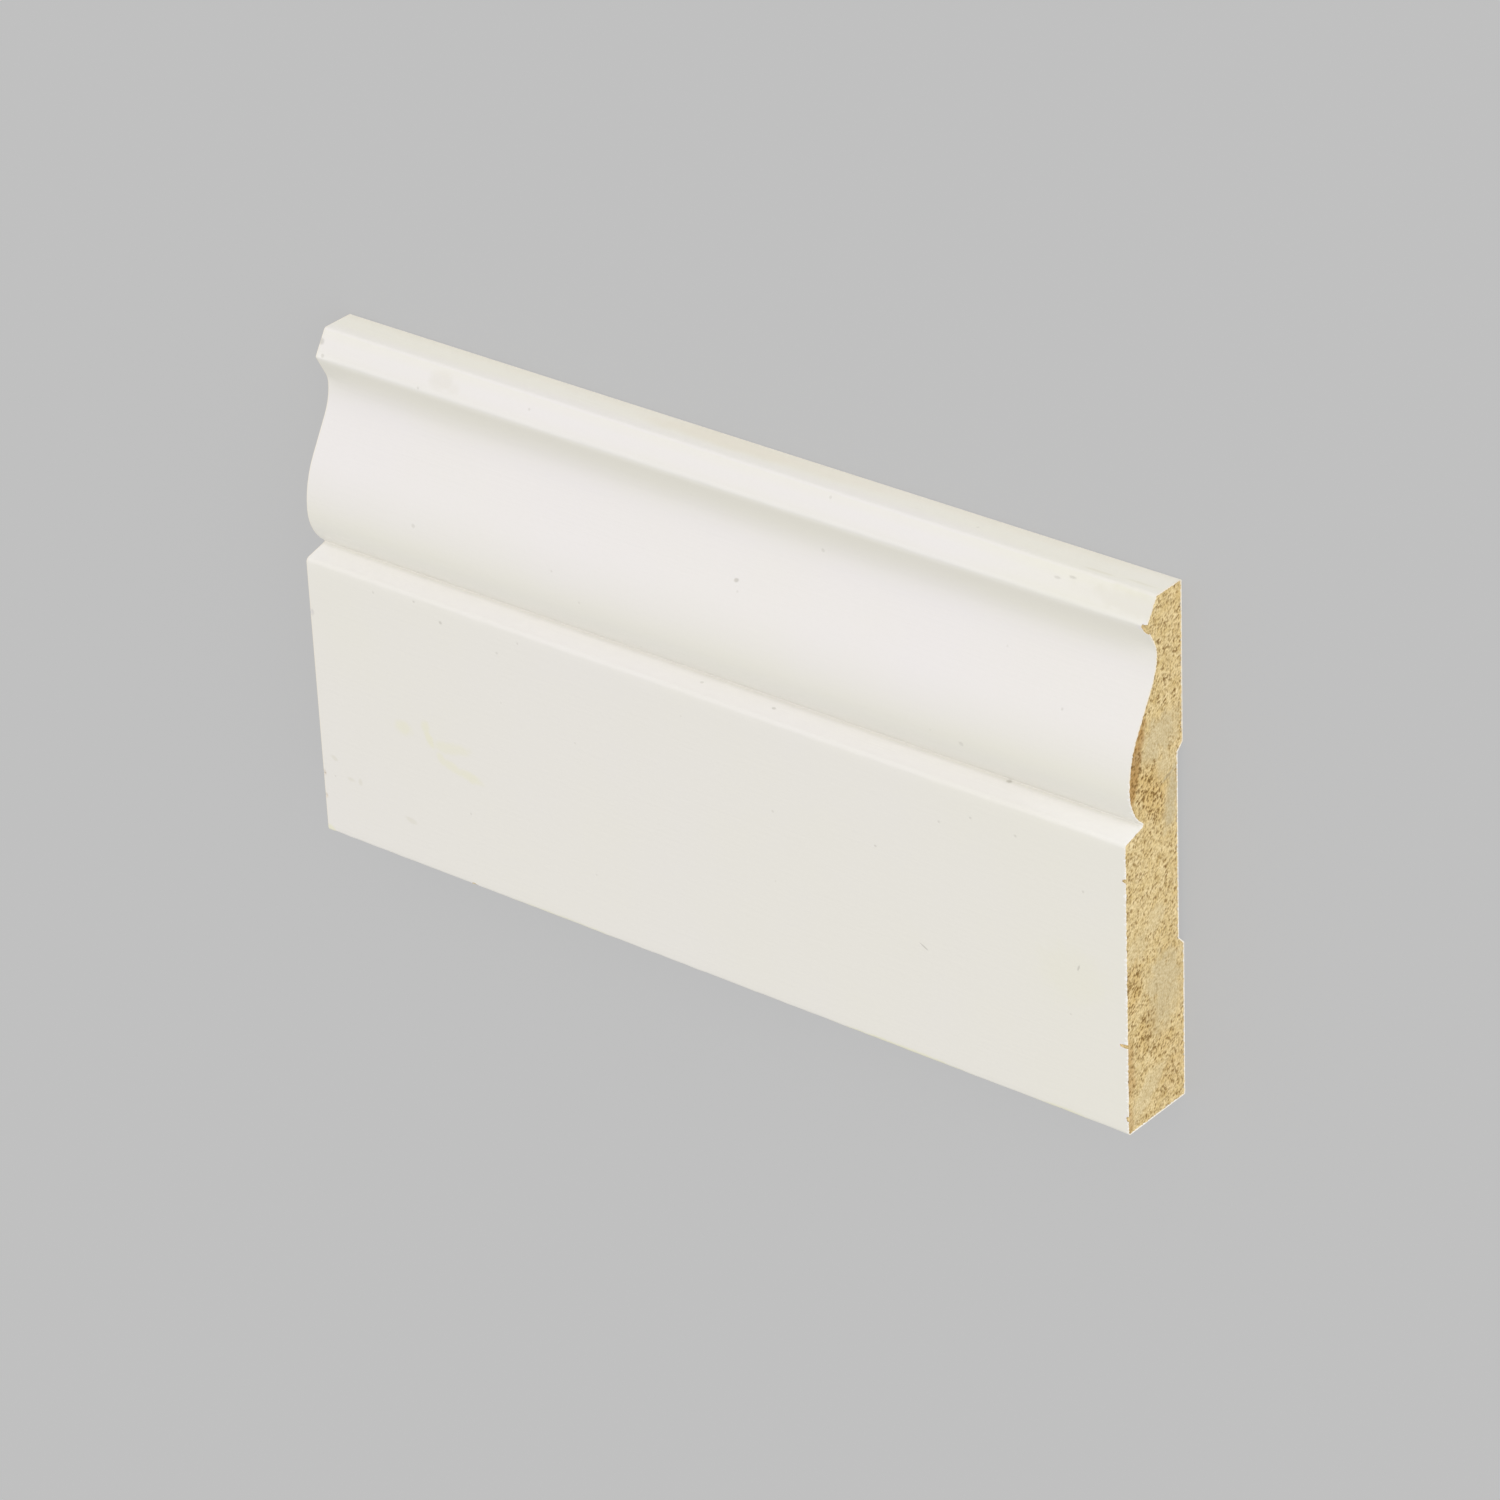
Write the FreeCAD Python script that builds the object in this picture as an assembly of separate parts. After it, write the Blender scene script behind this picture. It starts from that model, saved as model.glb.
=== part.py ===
# Skirting board length: a short cut length of moulded and painted softwood skirting.
#
# The board lies on its back, as loose stock lies on a floor.
# X runs along the board, from one raw sawn end to the other.
# Y runs across it, from the square bottom edge at -Y to the moulded top edge at +Y.
# Z runs through it, from the back on the floor at Z = 0 up to the plain face.
# The origin is on the back, in the middle of the board. All sizes are in millimetres.

import FreeCAD, Part
import math
import os

# The planed board

board_length = 221.0
board_height = 120.0
board_thickness = 20.0

# The back: two flat strips bear on the wall, and the relief between them stands clear of it

bearing_strip = 36.6
relief_depth = 1.8
relief_flank_angle = 45.0

# The moulding. A setback is measured behind the plain face, and a drop or a fall downwards:
# each member's fall starts where the member above it ends

nose_setback = 11.6
lip_drop = 5.7
lip_setback = 8.0

hollow_fall = 7.3
hollow_setback = 11.3
hollow_upper_radius = 4.5

roll_fall = 27.0
roll_setback = 1.55
roll_under_radius = 12.0
flank_angle = 30.0
hollow_share = 0.37

quirk_setback = 6.5
ledge_slope = 15.0

# The small radii that the cutter and the paint leave along the board

arris_rounding = 0.4
foot_rounding = 0.8
nose_rounding = 1.0
lip_rounding = 0.6
quirk_rounding = 0.25
ledge_rounding = 1.2

# Two points of the section lie on the same corner when they are closer than this

same_place = 0.001


def section_point(drop, setback):
    """The point that lies drop below the top edge and setback behind the plain face."""
    across = board_height / 2 - drop
    up = board_thickness - setback
    return FreeCAD.Vector(-board_length / 2, across, up)


def straight(*points):
    """Straight edges from each point to the next."""
    return [Part.makeLine(a, b) for a, b in zip(points, points[1:])]


class Round:
    """A circle of the section, on which 0 degrees is the point nearest the face and 90 the topmost."""

    def __init__(self, drop, setback, radius):
        self.drop = drop
        self.setback = setback
        self.radius = radius

    def point(self, degrees):
        turn = math.radians(degrees)
        drop = self.drop - self.radius * math.sin(turn)
        return section_point(drop, self.setback - self.radius * math.cos(turn))

    def arc(self, start, end):
        middle = self.point((start + end) / 2)
        return [Part.Arc(self.point(start), middle, self.point(end)).toShape()]


def tangent_angle(circle, drop, setback):
    """Where a line from the point above touches the circle on the side towards the back."""
    rise = circle.drop - drop
    out = circle.setback - setback
    distance = math.hypot(rise, out)
    towards_point = math.degrees(math.atan2(rise, out))
    return towards_point + math.degrees(math.acos(circle.radius / distance))


# Places down the moulding

hollow_drop = lip_drop + hollow_fall
roll_drop = hollow_drop + roll_fall

# The ogee: a hollow, a straight flank that leans out by the flank angle, and a roll.
# Both arcs start upright and turn by the flank angle, so their radii add up to one sum,
# of which the hollow takes its share

lean = math.radians(flank_angle)
ogee_reach = hollow_setback - roll_setback
sum_of_radii = (roll_fall * math.tan(lean) - ogee_reach) / (1 / math.cos(lean) - 1)
hollow_radius = hollow_share * sum_of_radii
roll_radius = sum_of_radii - hollow_radius

upper_hollow = Round(hollow_drop, hollow_setback - hollow_upper_radius, hollow_upper_radius)
lower_hollow = Round(hollow_drop, hollow_setback - hollow_radius, hollow_radius)
upper_roll = Round(roll_drop, roll_setback + roll_radius, roll_radius)
under_roll = Round(roll_drop, roll_setback + roll_under_radius, roll_under_radius)

# The roll turns back under itself as far as the quirk, a sharp groove where it meets the ledge

quirk_depth = quirk_setback - roll_setback
quirk_turn = math.degrees(math.acos(1 - quirk_depth / roll_under_radius))
quirk_drop = roll_drop + roll_under_radius * math.sin(math.radians(quirk_turn))
face_drop = quirk_drop + quirk_setback * math.tan(math.radians(ledge_slope))

# Corners of the section, from the foot up the back and down the front

foot_back = section_point(board_height, board_thickness)
top_back = section_point(0, board_thickness)
nose = section_point(0, nose_setback)
lip = section_point(lip_drop, lip_setback)
quirk = section_point(quirk_drop, quirk_setback)
ledge_front = section_point(face_drop, 0)
foot_front = section_point(board_height, 0)


def relief_corners():
    """The four corners of the relief in the back, from the foot upwards."""
    flank = relief_depth / math.tan(math.radians(relief_flank_angle))
    floor_setback = board_thickness - relief_depth
    low = board_height - bearing_strip
    high = bearing_strip
    return [
        section_point(low, board_thickness),
        section_point(low - flank, floor_setback),
        section_point(high + flank, floor_setback),
        section_point(high, board_thickness),
    ]


def section():
    """The closed outline of the board's end."""
    touch = tangent_angle(upper_hollow, lip_drop, lip_setback)
    lower_touch = 180 + flank_angle
    edges = straight(foot_back, *relief_corners(), top_back, nose, lip, upper_hollow.point(touch))
    edges += upper_hollow.arc(touch, 180)
    edges += lower_hollow.arc(180, lower_touch)
    edges += straight(lower_hollow.point(lower_touch), upper_roll.point(flank_angle))
    edges += upper_roll.arc(flank_angle, 0)
    edges += under_roll.arc(0, -quirk_turn)
    edges += straight(quirk, ledge_front, foot_front, foot_back)
    return Part.Wire(edges)


def edges_through(solid, *corners):
    """The long edges of the board that start at these corners of its section."""
    found = []
    for corner in corners:
        for edge in solid.Edges:
            ends = [vertex.Point for vertex in edge.Vertexes]
            runs_along = abs(edge.BoundBox.XLength - board_length) < same_place
            if runs_along and any((end - corner).Length < same_place for end in ends):
                found.append(edge)
    return found


def skirting_board():
    """One planed and moulded length, with its long edges rounded and both ends sawn square."""
    board = Part.Face(section()).extrude(FreeCAD.Vector(board_length, 0, 0))
    board = board.makeFillet(ledge_rounding, edges_through(board, ledge_front))
    board = board.makeFillet(nose_rounding, edges_through(board, nose))
    board = board.makeFillet(foot_rounding, edges_through(board, foot_front))
    board = board.makeFillet(lip_rounding, edges_through(board, lip))
    board = board.makeFillet(arris_rounding, edges_through(board, top_back, foot_back))
    board = board.makeFillet(quirk_rounding, edges_through(board, quirk))
    return board


os.makedirs("parts", exist_ok=True)
board = skirting_board()
board.exportStep("parts/skirting_board.step")

print("hollow radius", round(hollow_radius, 2), "roll radius", round(roll_radius, 2))
print("face starts", round(board_height - face_drop, 2), "above the foot")
print("section", round(board.Volume / board_length, 1), "mm2, volume", round(board.Volume / 1000, 1), "cm3")
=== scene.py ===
# %% [markdown]
# A short length of painted skirting board.
# The board is one piece of planed softwood. A cutter has run a moulding along its top, a thick
# coat of warm white paint covers it all round, and a saw has then cut it to length, so both ends
# show bare, torn end grain inside a thin rim of paint. The construction model gives the exact
# section, and it is loaded first as a fixed frame. This script keeps that section and models what
# someone who holds the board would look at: the film of paint, its knocks and thin places, and
# the sawn grain.

# %% Load the frame
import math

import bmesh
import bpy
from mathutils import Matrix, Vector, noise


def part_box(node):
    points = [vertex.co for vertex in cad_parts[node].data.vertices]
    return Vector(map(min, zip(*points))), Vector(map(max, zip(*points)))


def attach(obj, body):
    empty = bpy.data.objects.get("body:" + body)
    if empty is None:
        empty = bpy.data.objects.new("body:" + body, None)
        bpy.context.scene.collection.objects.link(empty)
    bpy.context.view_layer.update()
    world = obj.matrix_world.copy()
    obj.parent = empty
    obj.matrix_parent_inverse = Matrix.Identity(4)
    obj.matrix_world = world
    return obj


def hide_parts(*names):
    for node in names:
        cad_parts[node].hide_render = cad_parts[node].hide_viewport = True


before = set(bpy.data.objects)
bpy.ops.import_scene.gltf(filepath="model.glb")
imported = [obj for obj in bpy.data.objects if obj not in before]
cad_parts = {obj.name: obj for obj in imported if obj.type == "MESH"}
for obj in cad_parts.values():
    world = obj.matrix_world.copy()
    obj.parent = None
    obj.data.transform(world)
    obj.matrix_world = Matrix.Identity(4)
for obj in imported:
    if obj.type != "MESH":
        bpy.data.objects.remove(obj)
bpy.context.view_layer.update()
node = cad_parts["skirting_board"]

mm = 0.001
touching = 0.001 * mm
low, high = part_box("skirting_board")
far_x, near_x = low.x, high.x
board_length = near_x - far_x
print("board, mm:", [round(side / mm, 1) for side in high - low])

# %% [markdown]
# The camera comes first, because every later choice is judged through it.
# The board lies on its back here, as loose stock lies on a floor, while the photograph shows it
# standing on its foot. So the camera keeps the photograph's view of the board and rolls with it:
# its up direction leans towards the moulded edge. A camera could also be aimed by a constraint,
# but a constraint keeps the world's up and can't roll. A long lens from well over a metre away
# keeps the long edges almost parallel.

# %% Camera
camera_place = Vector((753.1, 634.9, 898.8)) * mm
camera_aim = Vector((5.6, -7.3, 10.0)) * mm
camera_up = Vector((-0.2765, 0.8742, -0.3992))

forward = (camera_aim - camera_place).normalized()
right = forward.cross(camera_up).normalized()
up = right.cross(forward)

camera = bpy.data.objects.new("camera", bpy.data.cameras.new("camera"))
bpy.context.scene.collection.objects.link(camera)
camera.matrix_world = (
    Matrix.Translation(camera_place) @ Matrix((right, up, -forward)).transposed().to_4x4()
)
camera.data.sensor_width = 36
camera.data.lens = 150.85
bpy.context.scene.camera = camera
print("camera distance, mm:", round((camera_aim - camera_place).length / mm))

# %% [markdown]
# Light. Pale paint looks right when the light is wide and even: a strong lamp would clip it to
# white and a small one would draw hard shadows in the moulding. An even sky does most of the
# work, a broad soft sun from the moulded side shapes the ogee, and a second one lights the
# sawn end. Area lamps near the board would do this too, but they fade along it. A sun doesn't, so
# the board looks the same from every side and at any distance.

# %% Light
def soft_sun(name, towards, strength, spread):
    """A sun that shines from the given direction, as wide in the sky as spread, in degrees."""
    data = bpy.data.lights.new(name, "SUN")
    data.energy = strength
    data.angle = math.radians(spread)
    sun = bpy.data.objects.new(name, data)
    sun.rotation_mode = "QUATERNION"
    sun.rotation_quaternion = Vector(towards).to_track_quat("Z", "Y")
    bpy.context.scene.collection.objects.link(sun)
    return sun


key_sun = soft_sun("key_sun", towards=(0.25, 0.62, 0.74), strength=0.8, spread=60)
end_sun = soft_sun("end_sun", towards=(0.93, 0.25, 0.28), strength=1.15, spread=60)
sky_strength = 0.713
print("suns:", key_sun.data.energy, end_sun.data.energy, "sky:", sky_strength)

# %% [markdown]
# Colours are written as they look on the screen, from 0 to 255, and turned into the linear
# values that a shader works with. Guessing linear values by eye makes everything too dark.
# White paint is never one white. The coat is warm, a yellower white is painted into the hollows
# and under the lip as painted shade, an almost pure white is painted where the light falls most as
# painted light, and broken paint at the sawn ends is creamy.

# %% Colours
def screen_colour(red, green, blue):
    """The linear colour, with alpha, that shows as these values from 0 to 255."""
    linear = []
    for value in (red, green, blue):
        share = value / 255
        linear.append(share / 12.92 if share <= 0.04045 else ((share + 0.055) / 1.055) ** 2.4)
    return (*linear, 1.0)


backdrop_grey = screen_colour(192, 192, 192)
paint_fresh = screen_colour(230, 226, 224)
paint_shade_and_yellowing = screen_colour(230, 227, 216)
paint_lit_white = screen_colour(244, 242, 238)
paint_broken = screen_colour(236, 226, 206)
print("fresh paint, linear:", [round(part, 3) for part in paint_fresh[:3]])

# %% [markdown]
# Helpers for nodes. Materials and the world are trees of nodes, and writing each node and each
# link out by hand hides what a material does. These few functions add a node and fill its inputs
# in one line. Every input takes either a number or the output of another node.

# %% Node helpers
def add(tree, kind, links=(), **settings):
    """A new node: links fills its inputs from sockets or values, settings are its own values."""
    made = tree.nodes.new(kind)
    for key, value in settings.items():
        setattr(made, key, value)
    for name, value in dict(links).items():
        socket = made.inputs[name]
        if isinstance(value, bpy.types.NodeSocket):
            tree.links.new(value, socket)
        else:
            socket.default_value = value
    return made


def calc(tree, operation, *values, clamp=False):
    """The result of a Math node on up to three values."""
    made = add(tree, "ShaderNodeMath", enumerate(values), operation=operation, use_clamp=clamp)
    return made.outputs[0]


def ranged(tree, value, start, end, low=0.0, high=1.0, easing="LINEAR"):
    """The value, with start to end mapped to low to high and held there beyond."""
    made = add(tree, "ShaderNodeMapRange", {
        "Value": value, "From Min": start, "From Max": end, "To Min": low, "To Max": high,
    }, interpolation_type=easing)
    return made.outputs[0]


def mix(tree, mask, one, other):
    """The colour one where the mask is 0 and the other where it is 1.

    A Mix node has sockets for every kind of value. Inputs 6 and 7 and output 2 are its colours.
    """
    return add(tree, "ShaderNodeMix", {0: mask, 6: one, 7: other}, data_type="RGBA").outputs[2]


def speckle(tree, vector, scale, detail):
    """Soft noise from 0 to 1. The scale is in lumps for each metre."""
    links = {"Vector": vector, "Scale": scale, "Detail": detail}
    return add(tree, "ShaderNodeTexNoise", links).outputs[0]


def empty_tree(owner):
    """Gives a world or a material nodes, and empties them."""
    owner.use_nodes = True
    owner.node_tree.nodes.clear()
    return owner.node_tree


# %% [markdown]
# The world. Stock is photographed against a plain pale grey. The light of the sky and the grey
# behind the board are two different things, and one background can't be both: grey as bright as
# the backdrop would light the board too little, or white enough for the board would glow behind
# it. Light Path tells the two apart. The camera, and what is mirrored in gloss or seen through
# glass, gets the grey, and every other ray gets the sky.

# %% World
def shows_backdrop(tree):
    """1 for the rays that should meet the grey and 0 for those that only carry light."""
    ray = add(tree, "ShaderNodeLightPath").outputs
    gloss_or_glass = calc(tree, "MAXIMUM", ray["Is Glossy Ray"], ray["Is Transmission Ray"])
    return calc(tree, "MAXIMUM", ray["Is Camera Ray"], gloss_or_glass)


world = bpy.data.worlds.new("studio")
bpy.context.scene.world = world
tree = empty_tree(world)
sky = add(tree, "ShaderNodeBackground", {"Color": (1, 1, 1, 1), "Strength": sky_strength})
backdrop = add(tree, "ShaderNodeBackground", {"Color": backdrop_grey})
chosen = add(tree, "ShaderNodeMixShader", {
    0: shows_backdrop(tree), 1: sky.outputs[0], 2: backdrop.outputs[0],
})
add(tree, "ShaderNodeOutputWorld", {"Surface": chosen.outputs[0]})
bpy.context.scene.view_settings.view_transform = "Standard"
print("backdrop, linear:", round(backdrop_grey[0], 3))

# %% [markdown]
# Helpers for edit mode. An operator acts on whatever is selected, so a script has to do what the
# hand does: choose the piece, clear the selection, pick faces or edges, and only then extrude or
# cut. Indices change with every operator. A place or a direction doesn't, so each pick is a test
# on where a vertex, edge or face is.

# %% Edit-mode helpers
def only(piece):
    """Leaves object mode with nothing but this piece selected and active."""
    if bpy.context.object and bpy.context.object.mode != "OBJECT":
        bpy.ops.object.mode_set(mode="OBJECT")
    bpy.ops.object.select_all(action="DESELECT")
    piece.select_set(True)
    bpy.context.view_layer.objects.active = piece


def edit(piece, mode):
    """Opens the piece in edit mode with nothing selected. The mode is VERT, EDGE or FACE."""
    only(piece)
    bpy.ops.object.mode_set(mode="EDIT")
    bpy.ops.mesh.select_mode(type=mode)
    bpy.ops.mesh.select_all(action="DESELECT")


def pick(piece, kind, test):
    """Selects the verts, edges or faces that pass the test, and says how many they are."""
    cage = bmesh.from_edit_mesh(piece.data)
    found = [item for item in getattr(cage, kind) if test(item)]
    for item in found:
        item.select_set(True)
    cage.select_flush_mode()
    bmesh.update_edit_mesh(piece.data)
    return len(found)


def done():
    bpy.ops.object.mode_set(mode="OBJECT")


def subdivide_each(piece, cuts_for):
    """Subdivides every edge of the piece in edit mode by the number of cuts that it asks for."""
    cage = bmesh.from_edit_mesh(piece.data)
    for cuts in sorted({cuts_for(edge) for edge in cage.edges} - {0}):
        bpy.ops.mesh.select_all(action="DESELECT")
        pick(piece, "edges", lambda edge: cuts_for(edge) == cuts)
        bpy.ops.mesh.subdivide(number_cuts=cuts)


def face_outwards(piece):
    edit(piece, "FACE")
    bpy.ops.mesh.select_all(action="SELECT")
    bpy.ops.mesh.normals_make_consistent(inside=False)
    done()


def apply_modifiers(piece):
    only(piece)
    for modifier in list(piece.modifiers):
        bpy.ops.object.modifier_apply(modifier=modifier.name)


# %% [markdown]
# The board. On the real one this is planed stock with an ogee, a quirk and a sloping nose cut
# along it. Its section has arcs that were worked out for it, so drawing it again would only lose
# accuracy. The construction model's own mesh is copied instead. It is loose triangles, as models
# for other programs are: merged and dissolved, it becomes two end caps joined by long quads. The
# caps are taken off here, because the sawn ends are made later in another way.

# %% Section from the frame
board = bpy.data.objects.new("painted_board", node.data.copy())
board.data.name = board.name
board.data.materials.clear()
bpy.context.scene.collection.objects.link(board)

edit(board, "FACE")
bpy.ops.mesh.select_all(action="SELECT")
bpy.ops.mesh.customdata_custom_splitnormals_clear()
bpy.ops.mesh.mark_sharp(clear=True)
bpy.ops.mesh.remove_doubles(threshold=touching)
bpy.ops.mesh.dissolve_limited(angle_limit=math.radians(0.05))
bpy.ops.mesh.select_all(action="DESELECT")
pick(board, "faces", lambda face: abs(face.normal.x) > 0.9)
bpy.ops.mesh.delete(type="FACE")
done()
print("long faces of the section:", len(board.data.polygons))

# %% [markdown]
# Those long quads are cut into cells, because a dent or a wavy edge needs points to move. A
# remesh would give cells too, but it rounds every crisp edge. Subdividing the edges keeps each
# one where it is. The front gets the finest cells, the back coarser ones, and the arcs of the
# moulding have enough points across them already.

# %% Cells
step_along = 1.5 * mm
step_front = 1.1 * mm
step_back = 2.5 * mm
flat_edge = 2.3 * mm
back_depth = 2 * mm


def across_cuts(edge):
    """How many cuts an edge of the section needs."""
    one, other = (vertex.co for vertex in edge.verts)
    length = edge.calc_length()
    if abs(one.x - other.x) > touching or length < flat_edge:
        return 0
    at_back = max(one.z, other.z) < back_depth
    return round(length / (step_back if at_back else step_front)) - 1


edit(board, "EDGE")
pick(board, "edges", lambda edge: edge.calc_length() > board_length * 0.9)
bpy.ops.mesh.subdivide(number_cuts=round(board_length / step_along) - 1)
subdivide_each(board, across_cuts)
done()
print("board cells:", len(board.data.polygons))

# %% [markdown]
# The ends. Seen close, a sawn end is two things: the wood, and a white line all round it, which
# is the paint seen edge on. A line that thin could be a colour on the wood, but then it would
# have no lip to catch the light. Here the cap is inset by the thickness of the paint and pushed
# in, which leaves a real rim, and the wood is a piece of its own that fills the recess. Two cuts
# behind each end come first. What happens at the rim stays in front of the first, and what happens
# along the board stays behind the second, so the wood never shows through the paint.

# %% Sawn ends
film = 0.22 * mm
rim_width = 0.3 * mm
recess = 1.2 * mm
past_recess = 0.05 * mm
fine_edge = 0.35 * mm
film_group = board.vertex_groups.new(name="film_edge")


def at_end(point, end_x):
    return abs(point.x - end_x) < touching


def loops_behind(end_x, inwards):
    """Two cuts round the board: one a rim's width behind the end and one behind the recess."""
    edit(board, "FACE")
    for behind in (rim_width, recess + past_recess):
        bpy.ops.mesh.select_all(action="SELECT")
        bpy.ops.mesh.bisect(plane_co=(end_x + behind * inwards, 0, 0), plane_no=(1, 0, 0))
    done()


def open_end(end_x, inwards):
    """Closes one end, leaves a rim of paint round it, and returns a loose copy of the cap."""

    def outline_cuts(edge):
        if not all(at_end(vertex.co, end_x) for vertex in edge.verts):
            return 0
        return math.ceil(edge.calc_length() / fine_edge) - 1

    edit(board, "EDGE")
    subdivide_each(board, outline_cuts)
    bpy.ops.mesh.select_all(action="DESELECT")
    pick(board, "edges", lambda edge: edge.is_boundary and at_end(edge.verts[0].co, end_x))
    bpy.ops.mesh.edge_face_add()
    bpy.ops.mesh.select_mode(type="FACE")
    bpy.ops.mesh.duplicate()
    bpy.ops.mesh.separate(type="SELECTED")
    done()
    cap = next(piece for piece in bpy.context.selected_objects if piece is not board)
    edit(board, "FACE")
    pick(board, "faces", lambda face: all(at_end(corner.co, end_x) for corner in face.verts))
    bpy.ops.mesh.inset(thickness=film, use_even_offset=True)
    board.vertex_groups.active_index = film_group.index
    bpy.ops.object.vertex_group_assign()
    bpy.ops.mesh.extrude_region_move(TRANSFORM_OT_translate={"value": (recess * inwards, 0, 0)})
    done()
    return cap


loops_behind(near_x, inwards=-1)
loops_behind(far_x, inwards=1)
near_cap = open_end(near_x, inwards=-1)
far_cap = open_end(far_x, inwards=1)
face_outwards(board)
print("rim points:", sum(1 for vertex in board.data.vertices if vertex.groups))

# %% [markdown]
# The wood itself. Softwood that is sawn across doesn't come out flat: the saw tears the soft
# early wood into small pits and leaves the harder zones smooth and pale. The pits are deep
# enough to shade each other, so they are modelled as relief and not only drawn. That needs a
# fine, even grid, and a filled outline has none. So a grid is made first and then cut to the
# shape of the recess by a boolean with the loose cap. It fills the recess almost to the bottom,
# so that no gap opens behind it where a splinter is taken out later.

# %% Wood blank
wood_cell = 0.17 * mm
wood_depth = 1.16 * mm
wood_lap = 0.1 * mm
wood_gap = 0.02 * mm
plug_out = recess * 0.5
plug_length = recess * 1.6
grid_spare = 1.02


def plug_from(cap, inwards):
    """Turns the loose cap into a block that reaches a little into the paint all round."""
    edit(cap, "FACE")
    bpy.ops.mesh.select_all(action="SELECT")
    bpy.ops.mesh.inset(thickness=wood_lap, use_even_offset=True)
    bpy.ops.mesh.select_all(action="INVERT")
    bpy.ops.mesh.delete(type="FACE")
    bpy.ops.mesh.select_all(action="SELECT")
    bpy.ops.transform.translate(value=(-plug_out * inwards, 0, 0))
    bpy.ops.mesh.extrude_region_move(
        TRANSFORM_OT_translate={"value": (plug_length * inwards, 0, 0)}
    )
    face_outwards(cap)


def wood_blank(name, cap, end_x, inwards):
    """A slab with a fine grid on its outer side, cut to the cap's outline."""
    plug_from(cap, inwards)
    width, height = high.z - low.z, high.y - low.y
    bpy.ops.mesh.primitive_grid_add(
        x_subdivisions=round(width / wood_cell), y_subdivisions=round(height / wood_cell), size=1,
        location=(end_x + wood_gap * inwards, 0, width / 2), rotation=(0, math.radians(90), 0),
    )
    blank = bpy.context.object
    blank.name = name
    blank.data.name = name
    blank.scale = (width * grid_spare, height * grid_spare, 1)
    bpy.ops.object.transform_apply(location=True, rotation=True, scale=True)
    edit(blank, "EDGE")
    pick(blank, "edges", lambda edge: edge.is_boundary)
    bpy.ops.mesh.extrude_region_move(
        TRANSFORM_OT_translate={"value": (wood_depth * inwards, 0, 0)}
    )
    bpy.ops.mesh.edge_face_add()
    face_outwards(blank)
    trim = blank.modifiers.new("cut to the cap", "BOOLEAN")
    trim.operation = "INTERSECT"
    trim.solver = "MANIFOLD"
    trim.object = cap
    apply_modifiers(blank)
    bpy.data.objects.remove(cap)
    return blank


near_wood = wood_blank("sawn_end_near", near_cap, near_x, inwards=-1)
far_wood = wood_blank("sawn_end_far", far_cap, far_x, inwards=1)
print("wood cells:", len(near_wood.data.polygons), len(far_wood.data.polygons))

# %% [markdown]
# Where the wood is torn and where it is smooth follows its growth rings, which cross the section
# as slanting bands. Noise alone puts such bands anywhere, and a painted image would be a file of
# its own. Each band or stain is written down as a soft oval instead: its place on the end, its
# size and its lean. One helper turns a list of ovals into a number for every point. These numbers
# drive the relief and are kept on the mesh as attributes, so the colour sits where the relief is.

# %% Ovals on a sawn end
class Oval:
    """A soft oval on the end: up is measured from the middle of the board, out from its back.

    Sizes are half sizes in millimetres. It leans from upright towards the back, in degrees.
    It has faded out at the reach, in half sizes, after fading over a stretch before it.
    """

    reach = 1.35
    fade = 0.7

    def __init__(self, up, out, long, wide, lean=0, amount=1.0):
        self.up = up
        self.out = out
        self.long = long
        self.wide = wide
        self.lean = math.radians(lean)
        self.amount = amount

    def at(self, point, ragged):
        """The oval's amount at a point. Ragged moves the edge in or out there."""
        up = point.y / mm - self.up
        back = self.out - point.z / mm
        along = up * math.cos(self.lean) + back * math.sin(self.lean)
        across = back * math.cos(self.lean) - up * math.sin(self.lean)
        edge = math.hypot(along / self.long, across / self.wide) + ragged
        return self.amount * min(1, max(0, (self.reach - edge) / self.fade))


def keep_ovals(piece, name, ovals, ragged_size=1.8 * mm, ragged=0.5):
    """Keeps the strongest of the ovals at each point of the piece as an attribute."""
    attribute = piece.data.attributes.new(name, "FLOAT", "POINT")
    values = []
    for vertex in piece.data.vertices:
        shift = ragged * noise.noise(vertex.co / ragged_size)
        values.append(max([oval.at(vertex.co, shift) for oval in ovals] or [0]))
    attribute.data.foreach_set("value", values)
    return values


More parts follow.
